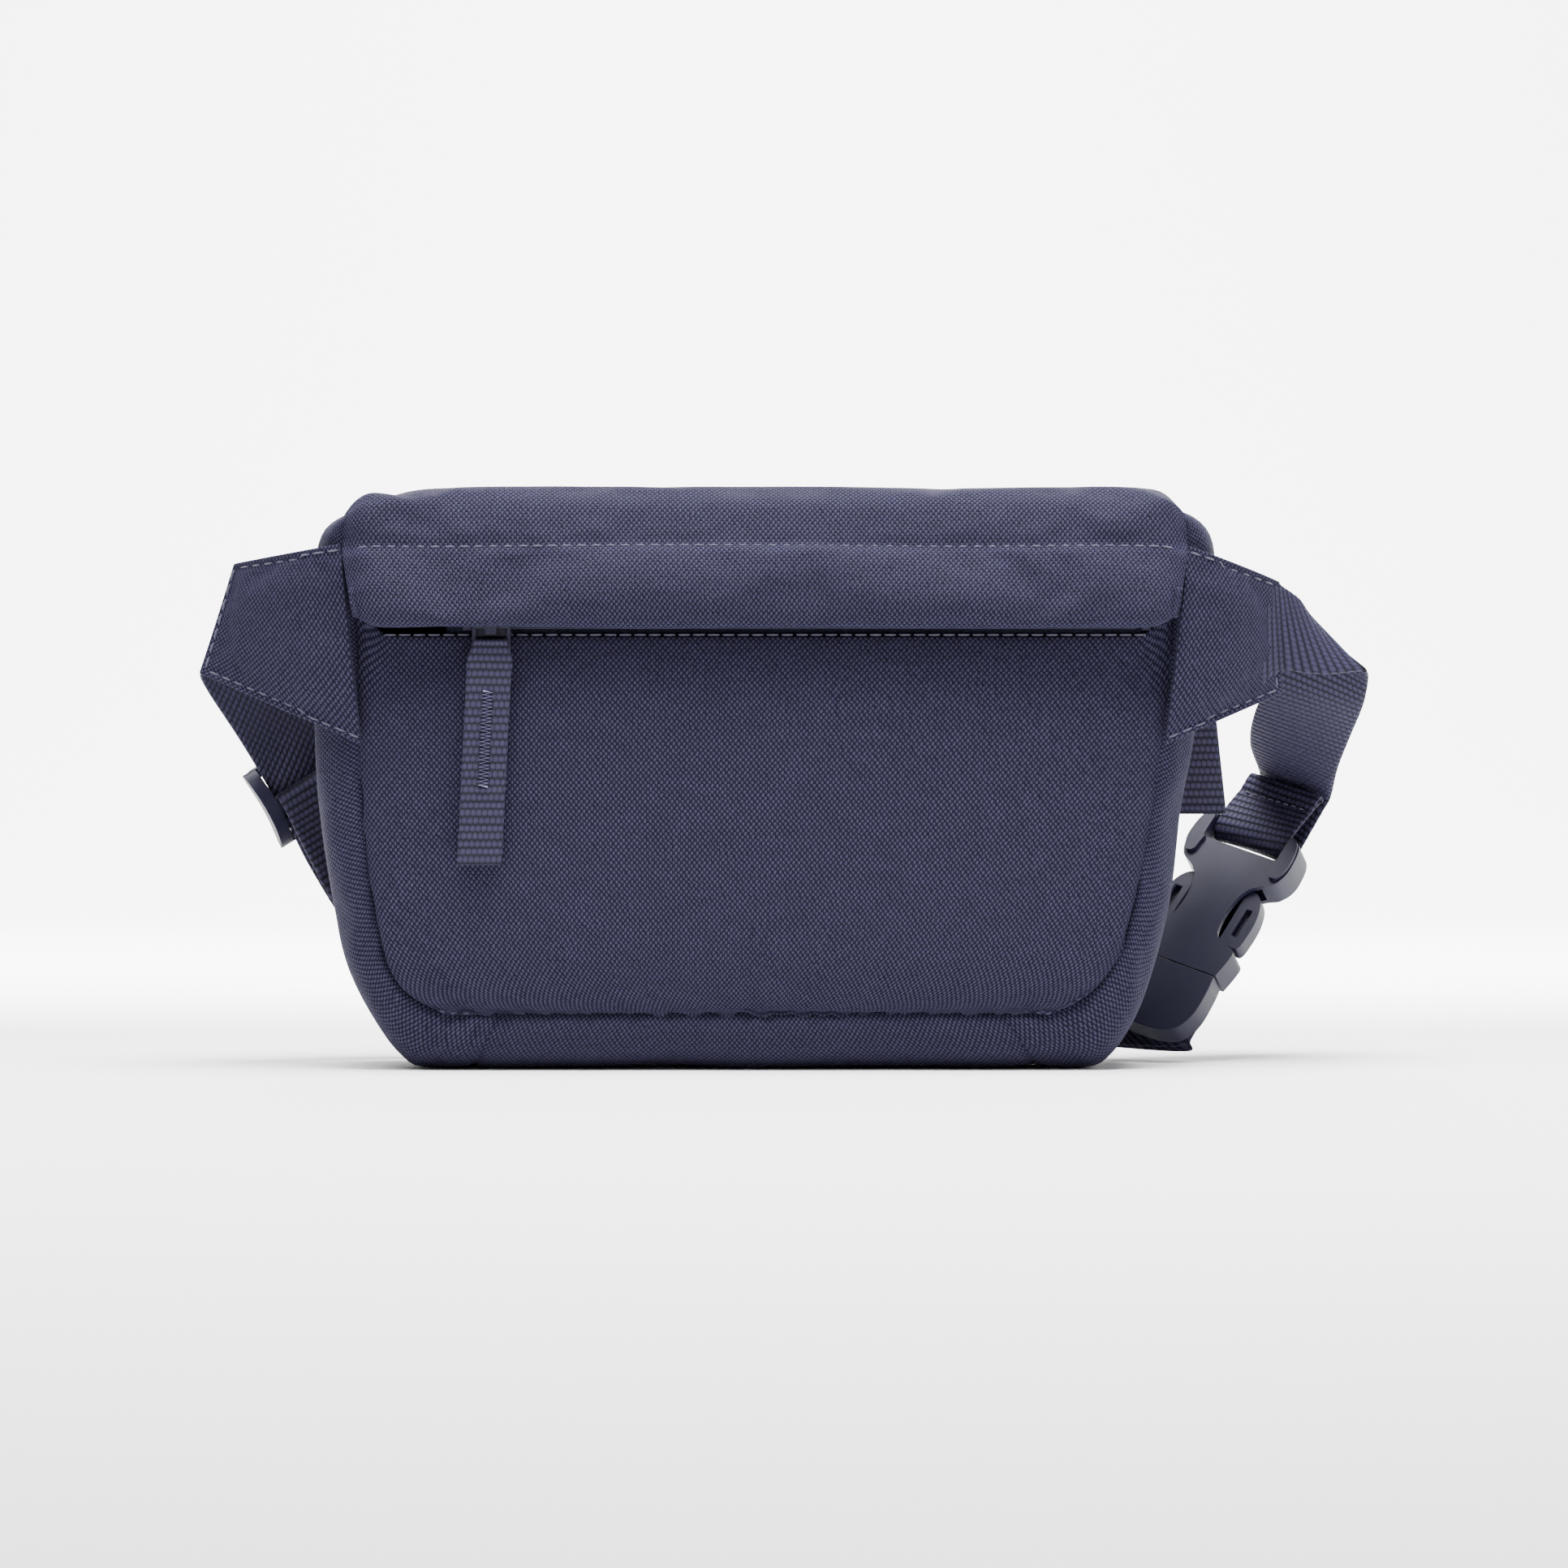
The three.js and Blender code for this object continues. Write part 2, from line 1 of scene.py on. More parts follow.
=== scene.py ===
"""Waist pack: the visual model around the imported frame.

Lengths are written in millimetres and scaled once, by MM.
"""
import math

import bmesh
import bpy
import numpy as np
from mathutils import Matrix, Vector


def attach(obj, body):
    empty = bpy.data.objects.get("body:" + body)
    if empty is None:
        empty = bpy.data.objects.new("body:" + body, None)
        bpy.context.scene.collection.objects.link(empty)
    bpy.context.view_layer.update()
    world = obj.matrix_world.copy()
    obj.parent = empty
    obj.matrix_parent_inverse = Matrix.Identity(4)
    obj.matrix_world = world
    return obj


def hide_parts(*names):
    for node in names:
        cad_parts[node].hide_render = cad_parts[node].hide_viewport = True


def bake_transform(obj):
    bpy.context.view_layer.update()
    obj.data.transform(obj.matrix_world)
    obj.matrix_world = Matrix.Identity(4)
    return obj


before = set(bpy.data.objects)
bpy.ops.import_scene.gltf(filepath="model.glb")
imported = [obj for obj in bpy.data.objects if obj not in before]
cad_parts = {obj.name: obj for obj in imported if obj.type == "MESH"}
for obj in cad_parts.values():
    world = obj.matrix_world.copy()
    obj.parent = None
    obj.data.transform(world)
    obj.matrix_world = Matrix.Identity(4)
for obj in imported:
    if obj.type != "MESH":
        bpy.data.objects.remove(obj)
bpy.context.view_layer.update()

MM = 0.001
CAMERA_X, CAMERA_Z, CAMERA_DISTANCE = 5.6, 80.8, 1500
LENS, SENSOR = 119.6, 36

FRONT_SEAM_Y, BACK_SEAM_Y = -27, 28
STITCH_Z, FLAP_EDGE_Z = 148.6, 124.4
WEBBING_WIDTH, WEBBING_THICKNESS = 25, 1.4
THREAD = 0.4
SLIDER_X = -77
PULL_TOP_Z, PULL_FOOT_Z, PULL_WIDTH, PULL_LEAN = 121.6, 58.2, 12.6, 3.2


# ---------------------------------------------------------------- curves and grids
def spline(points, samples):
    """Points on a Catmull-Rom curve through the given ones.

    samples is their number, at equal steps, or the shares of the curve's length where they lie.
    """
    p = np.array(points, float)
    ends = np.vstack([2 * p[0] - p[1], p, 2 * p[-1] - p[-2]])
    dense = []
    for i in range(len(p) - 1):
        a, b, c, d = ends[i : i + 4]
        t = np.linspace(0, 1, 24, endpoint=False)[:, None]
        square, cube = 2 * a - 5 * b + 4 * c - d, 3 * b - a - 3 * c + d
        dense.append(0.5 * (2 * b + (c - a) * t + square * t**2 + cube * t**3))
    dense = np.vstack(dense + [p[-1:]])
    length = np.concatenate([[0], np.cumsum(np.linalg.norm(np.diff(dense, axis=0), axis=1))])
    shares = np.linspace(0, 1, samples) if np.isscalar(samples) else np.asarray(samples)
    return np.column_stack([np.interp(shares * length[-1], length, dense[:, k]) for k in range(p.shape[1])])


def smooth(x):
    x = np.clip(x, 0, 1)
    return x * x * (3 - 2 * x)


def with_edges(count, edge=(0.0035, 0.01, 0.02)):
    """Shares from 0 to 1, closer together near both ends, where a seam rolls the cloth."""
    middle = np.linspace(edge[-1], 1 - edge[-1], count)
    return np.concatenate([[0], edge[:-1], middle, [1 - e for e in reversed(edge[:-1])], [1]])


def normals_of(grid):
    du, dv = np.gradient(grid, axis=0), np.gradient(grid, axis=1)
    n = np.cross(du, dv)
    return n / np.maximum(np.linalg.norm(n, axis=2, keepdims=True), 1e-9)


def lengths(grid, axis):
    """Distance along an axis of a grid, from its start, in millimetres."""
    steps = np.linalg.norm(np.diff(grid, axis=axis), axis=2)
    total = np.cumsum(steps, axis=axis)
    return np.insert(total, 0, 0, axis=axis)


def waves(grid, seed, size, height):
    """Soft unevenness of stuffed cloth: a few plane waves of about that size."""
    draw = np.random.default_rng(seed)
    total = np.zeros(grid.shape[:2])
    for _ in range(9):
        direction = draw.normal(size=3)
        direction /= np.linalg.norm(direction)
        wavelength = size * draw.uniform(0.6, 1.6)
        total += np.sin(grid @ direction * 2 * math.pi / wavelength + draw.uniform(0, 2 * math.pi))
    return total * height / 4


def grid_faces(nu, nv):
    return [(i * nv + j, (i + 1) * nv + j, (i + 1) * nv + j + 1, i * nv + j + 1)
            for i in range(nu - 1) for j in range(nv - 1)]


def grid_object(name, grid, material, thickness=0.0, levels=1):
    """A quad mesh of a grid of points in millimetres, with a UV map in metres, and its cloth thickness."""
    nu, nv = grid.shape[:2]
    faces = grid_faces(nu, nv)
    mesh = bpy.data.meshes.new(name)
    mesh.from_pydata((grid.reshape(-1, 3) * MM).tolist(), [], faces)
    u = lengths(grid, 0)
    v = lengths(grid, 1)
    u = np.broadcast_to(np.median(u, axis=1, keepdims=True), u.shape)
    v = np.broadcast_to(np.median(v, axis=0, keepdims=True), v.shape)
    layer = mesh.uv_layers.new(name="cloth")
    uv = np.stack([u, v], axis=2).reshape(-1, 2) * MM
    layer.data.foreach_set("uv", uv[np.array(faces).ravel()].ravel())
    mesh.polygons.foreach_set("use_smooth", [True] * len(mesh.polygons))
    mesh.materials.append(material)
    mesh.update()
    obj = bpy.data.objects.new(name, mesh)
    bpy.context.scene.collection.objects.link(obj)
    if thickness:
        solid = obj.modifiers.new("cloth_thickness", "SOLIDIFY")
        solid.thickness = thickness * MM
        solid.offset = -1
    if levels:
        finer = obj.modifiers.new("finer", "SUBSURF")
        finer.levels = finer.render_levels = levels
    return obj


# ---------------------------------------------------------------- cloth simulation
SETTLING_FRAMES = 20


def settle(grid, held, cap, pressure=4.0, slack=0.012):
    """Lets a stuffed panel's cloth find its shape: simulated under pressure with its sewn points held.

    grid turns its outer side along du x dv. No point moves further than cap, in millimetres.
    """
    nu, nv = grid.shape[:2]
    mesh = bpy.data.meshes.new("settling")
    mesh.from_pydata((grid.reshape(-1, 3) * MM).tolist(), [], grid_faces(nu, nv))
    obj = bpy.data.objects.new("settling", mesh)
    scene = bpy.context.scene
    scene.collection.objects.link(obj)
    sewn = obj.vertex_groups.new(name="sewn")
    sewn.add([int(k) for k in np.flatnonzero(held.ravel())], 1.0, "REPLACE")
    cloth = obj.modifiers.new("cloth", "CLOTH")
    cloth.settings.quality = 6
    cloth.settings.mass = 0.2
    cloth.settings.tension_stiffness = cloth.settings.compression_stiffness = 15
    cloth.settings.bending_stiffness = 0.5
    cloth.settings.vertex_group_mass = "sewn"
    cloth.settings.use_pressure = True
    cloth.settings.uniform_pressure_force = pressure
    cloth.settings.shrink_min = -slack
    cloth.settings.effector_weights.gravity = 0
    cloth.point_cache.frame_start, cloth.point_cache.frame_end = 1, SETTLING_FRAMES
    for step in range(1, SETTLING_FRAMES + 1):
        scene.frame_set(step)
    result = obj.evaluated_get(bpy.context.evaluated_depsgraph_get()).to_mesh()
    settled = np.array([v.co for v in result.vertices]).reshape(nu, nv, 3) / MM
    bpy.data.objects.remove(obj)
    scene.frame_set(1)
    move = settled - grid
    size = np.maximum(np.linalg.norm(move, axis=2, keepdims=True), 1e-6)
    return grid + move * cap * np.tanh(size / cap) / size


def edges_held(grid, *sides):
    """True for the points on the sewn sides of a grid: u0, u1, v0 and v1."""
    held = np.zeros(grid.shape[:2], bool)
    for side in sides:
        where = 0 if side[1] == "0" else -1
        if side[0] == "u":
            held[where, :] = True
        else:
            held[:, where] = True
    return held


# ---------------------------------------------------------------- shader helpers
class Shader:
    """Builds a node material: math, noise and mixes in a line each."""

    def __init__(self, name):
        self.material = bpy.data.materials.new(name)
        self.material.use_nodes = True
        self.tree = self.material.node_tree
        self.principled = self.tree.nodes["Principled BSDF"]

    def node(self, kind, inputs=(), output=0, **settings):
        made = self.tree.nodes.new(kind)
        for key, value in settings.items():
            setattr(made, key, value)
        for key, value in dict(inputs).items():
            self.feed(made.inputs[key], value)
        return made.outputs[output]

    def feed(self, socket, value):
        if isinstance(value, bpy.types.NodeSocket):
            self.tree.links.new(value, socket)
        else:
            socket.default_value = value

    def math(self, operation, *values):
        return self.node("ShaderNodeMath", enumerate(values), operation=operation)

    def mix_colour(self, factor, a, b):
        made = self.tree.nodes.new("ShaderNodeMix")
        made.data_type = "RGBA"
        sockets = [s for s in made.inputs if s.enabled]
        for socket, value in zip((sockets[0], sockets[-2], sockets[-1]), (factor, a, b)):
            self.feed(socket, value)
        return next(s for s in made.outputs if s.enabled)

    def noise(self, scale, detail=3.0, vector=None):
        inputs = {"Scale": scale, "Detail": detail}
        if vector is not None:
            inputs["Vector"] = vector
        return self.node("ShaderNodeTexNoise", inputs)

    def uv(self):
        coordinates = self.node("ShaderNodeUVMap", uv_map="cloth")
        split = self.tree.nodes.new("ShaderNodeSeparateXYZ")
        self.feed(split.inputs[0], coordinates)
        return split.outputs[0], split.outputs[1]

    def set(self, **values):
        for key, value in values.items():
            self.feed(self.principled.inputs[key.replace("_", " ")], value)

    def bump(self, height, distance, strength=1.0):
        normal = self.node("ShaderNodeBump", {"Strength": strength, "Distance": distance, "Height": height})
        self.feed(self.principled.inputs["Normal"], normal)


def rgb(r, g, b):
    return (r, g, b, 1.0)


def thread_float(s, across, along, narrow, taper):
    """Height of one floating thread inside its cell: round across, tapering at its ends."""
    width = s.math("POWER", s.math("ABSOLUTE", s.math("MULTIPLY", across, narrow)), 2.0)
    end = s.math("POWER", s.math("ABSOLUTE", s.math("MULTIPLY", along, taper)), 3.0)
    return s.math("MAXIMUM", s.math("SUBTRACT", s.math("SUBTRACT", 1.0, width), end), 0.0)


SHEEN_TINT = rgb(0.5, 0.5, 0.9)


def plain_weave(name, warp_pitch, weft_pitch, lit_warp_colour, shaded_weft_colour, gap_shade_colour, roughness=0.72,
                sheen=0.04):
    """Plain weave: every other cell shows a vertical thread, the others a horizontal one. The vertical
    threads carry the cloth's colour with a painted highlight, the horizontal ones carry it in painted
    shade, and the gaps between threads hold painted shade.
    """
    s = Shader(name)
    u, v = s.uv()
    wobble = s.math("MULTIPLY", s.math("SUBTRACT", s.noise(90.0, 2.0), 0.5), 0.9)
    across = s.math("ADD", s.math("DIVIDE", u, warp_pitch * MM), wobble)
    along = s.math("ADD", s.math("DIVIDE", v, weft_pitch * MM), wobble)
    cell = s.math("ADD", s.math("FLOOR", across), s.math("FLOOR", along))
    parity = s.math("MODULO", s.math("ABSOLUTE", cell), 2.0)
    x = s.math("SUBTRACT", s.math("FRACT", across), 0.5)
    y = s.math("SUBTRACT", s.math("FRACT", along), 0.5)
    warp = thread_float(s, x, y, 1.75, 1.45)
    weft = thread_float(s, y, x, 1.9, 1.55)
    height = s.node("ShaderNodeMix", {0: parity, 2: warp, 3: weft})
    # painted light: cells of vertical thread take the lit colour, cells of horizontal thread the shaded one
    colour = s.mix_colour(parity, rgb(*lit_warp_colour), rgb(*shaded_weft_colour))
    # painted shade: lower thread height mixes the colour towards the near-black gap colour
    shade = s.mix_colour(s.math("POWER", height, 0.7), rgb(*gap_shade_colour), colour)
    patch = s.math("MULTIPLY_ADD", s.noise(26.0, 4.0), 0.5, 0.75)
    streak = s.math("MULTIPLY_ADD", s.noise(700.0, 2.0), 0.7, 0.65)
    uneven = s.math("MULTIPLY", patch, streak)
    final = s.node("ShaderNodeVectorMath", {0: shade, 1: uneven}, operation="MULTIPLY")
    s.set(Base_Color=final, Roughness=roughness, Sheen_Weight=sheen, Sheen_Roughness=0.45)
    s.principled.inputs["Sheen Tint"].default_value = SHEEN_TINT
    s.principled.inputs["Specular IOR Level"].default_value = 0.1
    fuzz = s.math("MULTIPLY_ADD", s.noise(1500.0, 2.0), 0.25, height)
    s.bump(fuzz, 0.00022, 0.8)
    return s.material


def ribbed_webbing(name, rib_pitch, yarn_pitch, high, low):
    """Webbing: ribs across the strap, each a row of small round yarns. The colour darkens from high on the
    yarns' tops to low, near black, in the grooves between them: painted shade.
    """
    s = Shader(name)
    u, v = s.uv()
    rib = s.math("DIVIDE", u, rib_pitch * MM)
    row = s.math("FLOOR", rib)
    shift = s.math("MULTIPLY", s.math("MODULO", s.math("ABSOLUTE", row), 2.0), 0.5)
    yarn = s.math("ADD", s.math("DIVIDE", v, yarn_pitch * MM), shift)
    x = s.math("SUBTRACT", s.math("FRACT", rib), 0.5)
    y = s.math("SUBTRACT", s.math("FRACT", yarn), 0.5)
    height = thread_float(s, x, y, 1.85, 1.5)
    # painted shade: the colour falls to the near-black low colour in the grooves between yarns
    shade = s.mix_colour(s.math("POWER", height, 1.3), rgb(*low), rgb(*high))
    patch = s.math("MULTIPLY_ADD", s.noise(400.0, 3.0), 0.8, 0.6)
    final = s.node("ShaderNodeVectorMath", {0: shade, 1: patch}, operation="MULTIPLY")
    s.set(Base_Color=final, Roughness=0.62, Sheen_Weight=0.04, Sheen_Roughness=0.4)
    s.principled.inputs["Sheen Tint"].default_value = SHEEN_TINT
    s.principled.inputs["Specular IOR Level"].default_value = 0.14
    s.bump(height, 0.0004, 0.9)
    return s.material


def moulded_plastic(name, colour, roughness=0.42):
    s = Shader(name)
    darker, lighter = (rgb(*(c * share for c in colour)) for share in (0.85, 1.15))
    tone = s.mix_colour(s.noise(60.0, 4.0), darker, lighter)
    rough = s.math("MULTIPLY_ADD", s.noise(900.0, 3.0), 0.16, roughness - 0.08)
    s.set(Base_Color=tone, Roughness=rough)
    s.principled.inputs["Specular IOR Level"].default_value = 0.24
    s.bump(s.noise(2600.0, 2.0), 0.00003, 0.5)
    return s.material


def thread_material(name, colour):
    s = Shader(name)
    wave = {"Scale": 1400.0, "Distortion": 1.5}
    twist = s.node("ShaderNodeTexWave", wave, output=1, bands_direction="DIAGONAL")
    # painted shade: the colour darkens to 0.6 of itself in the twist's grooves, the pattern that also
    # drives the bump
    tone = s.mix_colour(twist, rgb(*(c * 0.6 for c in colour)), rgb(*colour))
    s.set(Base_Color=tone, Roughness=0.5, Sheen_Weight=0.2)
    s.bump(twist, 0.00006, 0.6)
    return s.material


# Weaves: the canvas's warp colour holds a painted highlight and its weft colour painted shade; each weave's
# third colour is painted shade in the gaps between threads.
CANVAS = plain_weave(
    "canvas_weave", 0.73, 0.91, (0.034, 0.031, 0.063), (0.004, 0.0035, 0.016), (0.0003, 0.0003, 0.002))
LINING = plain_weave(
    "lining_weave", 0.4, 0.4, (0.03, 0.03, 0.055), (0.025, 0.025, 0.045), (0.008, 0.008, 0.015), 0.5, 0.15)
# The webbing's second colour is painted shade for the grooves between its yarns.
WEBBING = ribbed_webbing("ribbed_webbing", 2.2, 1.6, (0.027, 0.0245, 0.053), (0.001, 0.001, 0.004))
BUCKLE = moulded_plastic("buckle_acetal", (0.010, 0.0095, 0.024))
STITCHING = thread_material("sewing_thread", (0.040, 0.038, 0.085))
BARTACK_THREAD = thread_material("bartack_thread", (0.15, 0.146, 0.29))
ZIP_TAPE = plain_weave(
    "zip_tape_knit", 0.45, 0.6, (0.03, 0.03, 0.06), (0.024, 0.024, 0.05), (0.006, 0.006, 0.014), 0.7, 0.1)

# ---------------------------------------------------------------- the pouch's outlines, seen from the front
# Each runs from the top left, down and round the foot, to the top right.
FRONT_SEAM = [
    (-117, 158), (-119.2, 151), (-116, 122), (-115, 97), (-114.2, 73), (-111.8, 50), (-108.2, 31.7),
    (-103, 22.4), (-94.4, 17.2), (-82, 15.9), (-62, 15.8), (0, 15.8), (58, 15.8), (76, 16), (88, 18.2),
    (98, 27), (104, 41), (109.7, 68.4), (112.8, 91), (116.4, 121.2), (119.6, 151), (117.4, 158),
]
WIDEST = [
    (-117, 158.4), (-123.6, 155.2), (-127.2, 148), (-127.8, 118), (-127, 87), (-124.3, 63.5),
    (-120.8, 40.2), (-117.3, 26.1), (-110.3, 12.3), (-102, 2.4), (-90, 0), (0, 0), (86, 0), (97, 2.2),
    (104, 11), (108.5, 21.5), (114, 47.2), (117.6, 72.9), (120.4, 88), (124.4, 118), (127.6, 147),
    (124, 155.2), (117.4, 158.4),
]
BACK_SEAM = [
    (-117, 158), (-119, 150), (-118, 110), (-114, 60), (-109, 28), (-101, 13), (-88, 7.5), (0, 6.5),
    (82, 7.5), (95, 13), (103, 28), (109, 60), (115.5, 110), (119, 150), (117.4, 158),
]


def seam_points(outline, y, shares):
    flat = spline(outline, shares)
    return np.column_stack([flat[:, 0], np.full(len(flat), y), flat[:, 1]])


def roll_seams(grid, depth, reach, sides):
    """Draws the cloth in along its sewn sides, so that it turns over a rounded lip into the seam."""
    n = normals_of(grid)
    u, v = lengths(grid, 0), lengths(grid, 1)
    distance = np.full(grid.shape[:2], 1e9)
    for side, away in {"u0": u, "u1": u[-1:] - u, "v0": v, "v1": v[:, -1:] - v}.items():
        if side in sides:
            distance = np.minimum(distance, away)
    return grid - n * (depth * (1 - np.clip(distance / reach, 0, 1)) ** 2)[:, :, None]


def gusset_grid(start, end, along, across=16):
    shares = np.linspace(start, end, along)
    front = seam_points(FRONT_SEAM, FRONT_SEAM_Y, shares)
    widest = seam_points(WIDEST, 0, shares)
    back = seam_points(BACK_SEAM, BACK_SEAM_Y, shares)
    rows = []
    for w in with_edges(across, (0.008, 0.03, 0.06)):
        angle = math.pi * w
        depth = (1 - math.cos(angle)) / 2
        out = min(1.0, 1.12 * math.sin(angle) ** 0.55)
        edge = front * (1 - depth) + back * depth
        row = edge * (1 - out) + widest * out
        row[:, 1] = edge[:, 1]
        rows.append(row)
    return np.stack(rows, axis=1)


def with_allowance(grid, start, end, lap=2.8, depth=2.6):
    """Adds the seam allowance that lies behind the front panel's edge, lap wide and depth behind it."""
    shares = np.linspace(start, end, len(grid))
    inward = seam_points(FRONT_SEAM, 0, shares) - seam_points(WIDEST, 0, shares)
    inward /= np.linalg.norm(inward, axis=1, keepdims=True)
    allowance = grid[:, -1] + inward * lap + np.array([0, depth, 0])
    return np.concatenate([grid, allowance[:, None]], axis=1)


def build_gussets():
    """The side gussets and the bottom one meet in mitres, with a small lap."""
    mitre = 0.352
    lap = 0.003
    spans = {
        "side_gusset_left": (0, mitre + lap, 40),
        "bottom_gusset": (mitre - lap, 1 - mitre + lap, 56),
        "side_gusset_right": (1 - mitre - lap, 1, 40),
    }
    for name, (start, end, along) in spans.items():
        grid = gusset_grid(start, end, along)
        n = normals_of(grid)
        across = lengths(grid, 1)
        fade = smooth(np.minimum(across, across[:, -1:] - across) / 8)
        grid = (grid - n * (waves(grid, 7, 46, 0.5) * fade)[:, :, None])[:, ::-1]
        if name != "bottom_gusset":
            grid = settle(grid, edges_held(grid, "u0", "u1", "v0", "v1"), 1.5)
        ends = {"side_gusset_left": "u1", "bottom_gusset": "u0 u1", "side_gusset_right": "u0"}[name]
        grid = roll_seams(grid, 1.5, 3.2, f"v0 v1 {ends}")
        grid = with_allowance(grid, start, end)
        grid[:, :, 2] = np.maximum(grid[:, :, 2], 0)
        obj = grid_object(name + "_cloth", grid, CANVAS, 0.9)
        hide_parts(name)
        if name == "bottom_gusset":
            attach(obj, "pouch")
        else:
            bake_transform(obj)


def outline_half(outline, side):
    """x on one half of an outline, by z."""
    points = spline(outline, 400)
    half = points[:200] if side < 0 else points[200:][::-1]
    order = np.argsort(half[:, 1], kind="stable")
    return half[order, 1], half[order, 0]


def panel_grid(outline, seam_y, top_z, columns, rows, crown):
    """A panel inside an outline, crowned out of the seam's plane by crown(x, z), both as shares."""
    foot_z = min(z for _, z in outline)
    left, right = outline_half(outline, -1), outline_half(outline, 1)
    across = with_edges(columns)
    grid = np.zeros((len(across), rows, 3))
    for j, share in enumerate(1 - np.cos(np.linspace(0, math.pi / 2, rows))):
        z = foot_z + 0.05 + (top_z - foot_z - 0.05) * share
        low, high = np.interp(z, *left), np.interp(z, *right)
        grid[:, j, 0] = low + (high - low) * across
        grid[:, j, 1] = seam_y
        grid[:, j, 2] = z
        grid[:, j, 1] += crown(2 * across - 1, share)
    return grid


def build_panels():
    def front_crown(x, share):
        flat = (1 - np.abs(x) ** 5) * min(1.0, 7 * share)
        return -flat * (0.8 + 1.2 * math.sin(math.pi * share))

    grid = panel_grid(FRONT_SEAM, FRONT_SEAM_Y, 123, 64, 34, front_crown)
    ends = smooth((np.abs(grid[:, :, 0]) - 109) / 5)
    grid[:, :, 2] += 9 * ends * smooth((grid[:, :, 2] - 100) / 23)
    grid[:, :, 1] += waves(grid, 3, 70, 0.5) * smooth(lengths(grid, 1) / 12)
    grid = settle(grid, edges_held(grid, "u0", "u1", "v0", "v1"), 1.7)
    grid = roll_seams(grid, 1.6, 3.4, "v0 u0 u1")
    front = grid_object("front_panel_cloth", grid, CANVAS, 0.9)
    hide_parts("front_panel")
    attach(front, "pouch")
    stitch_row("front_panel_top_stitches", grid, 120.8, "pouch", inset=4)

    def back_crown(x, share):
        return (1 - np.abs(x) ** 4) * (0.8 + 1.4 * math.sin(math.pi * share)) * min(1.0, 5 * share)

    grid = panel_grid(BACK_SEAM, BACK_SEAM_Y, 153, 56, 34, back_crown)[::-1]
    grid[:, :, 1] -= waves(grid, 5, 60, 0.7)
    grid = settle(grid, edges_held(grid, "u0", "u1", "v0", "v1"), 2.5)
    grid = roll_seams(grid, 1.4, 3.0, "v0 v1 u0 u1")
    back = grid_object("back_panel_cloth", grid, CANVAS, 0.9)
    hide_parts("back_panel")
    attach(back, "pouch")


# ---------------------------------------------------------------- hood: top panel, flap over the zip
HOOD_SECTION = [
    (28.4, 153), (27.4, 158), (23, 161.6), (12, 163.2), (-4, 163.8), (-18, 163.8), (-26, 163.2),
    (-30.4, 160.6), (-32.2, 156), (-33, 151.5), (-33.2, 148.6), (-34.4, 146), (-36, 141), (-37.6, 135),
    (-38.7, 129.6), (-38, 125.8), (-35.6, 124.4), (-33.2, 125.8), (-32, 130), (-31.6, 136),
]


def build_hood():
    rows = 64
    section = spline(HOOD_SECTION, rows)
    across = with_edges(70, (0.003, 0.009, 0.018, 0.03))
    grid = np.zeros((len(across), rows, 3))
    for j, (y, z) in enumerate(section):
        drop = np.clip((STITCH_Z - z) / (STITCH_Z - FLAP_EDGE_Z), 0, 1)
        left, right = -119.6 + 4.2 * drop, 120 - 3.8 * drop
        x = left + (right - left) * across
        grid[:, j] = np.column_stack([x, np.full(len(x), y), np.full(len(x), z)])
    end = np.minimum(across, 1 - across) * 239
    n = -normals_of(grid)
    behind = np.arange(rows) < rows // 2
    flap = ((section[:, 1] < STITCH_Z) & ~behind).astype(float)
    upper = smooth((section[:, 1] - 146) / 5)
    loose = smooth(end / 30)[:, None] * (0.35 + 0.65 * flap)[None, :]
    grid += n * (loose * waves(grid, 12, 80, 0.8))[:, :, None]
    stitched = ~behind & (np.abs(section[:, 1] - STITCH_Z) < 1.6)
    turned_in = np.arange(rows) > rows - 9
    held = edges_held(grid, "u0", "u1", "v0") | (stitched | turned_in)[None, :]
    grid = settle(grid[::-1], held[::-1], 1.6)[::-1]
    closing = ((1 - np.clip(end / 9, 0, 1)) ** 2)[:, None] * (4.2 + 3.4 * upper)[None, :]
    grid -= n * closing[:, :, None]
    grid[:, :, 1] = np.where(flap[None, :] > 0, np.minimum(grid[:, :, 1], -30.6), grid[:, :, 1])
    groove = 0.9 * np.exp(-(((section[:, 1] - STITCH_Z) / 1.2) ** 2)) * ~behind
    grid -= n * groove[None, :, None]
    obj = grid_object("hood_cloth", grid[::-1], CANVAS, 0.9)
    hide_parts("top_panel", "storm_flap")
    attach(obj, "lid")
    front = int(np.argmin(np.abs(section[:, 1] - STITCH_Z) + 100 * behind))
    stitches("hood_stitches", grid[3:-3, front], n[3:-3, front], "lid")


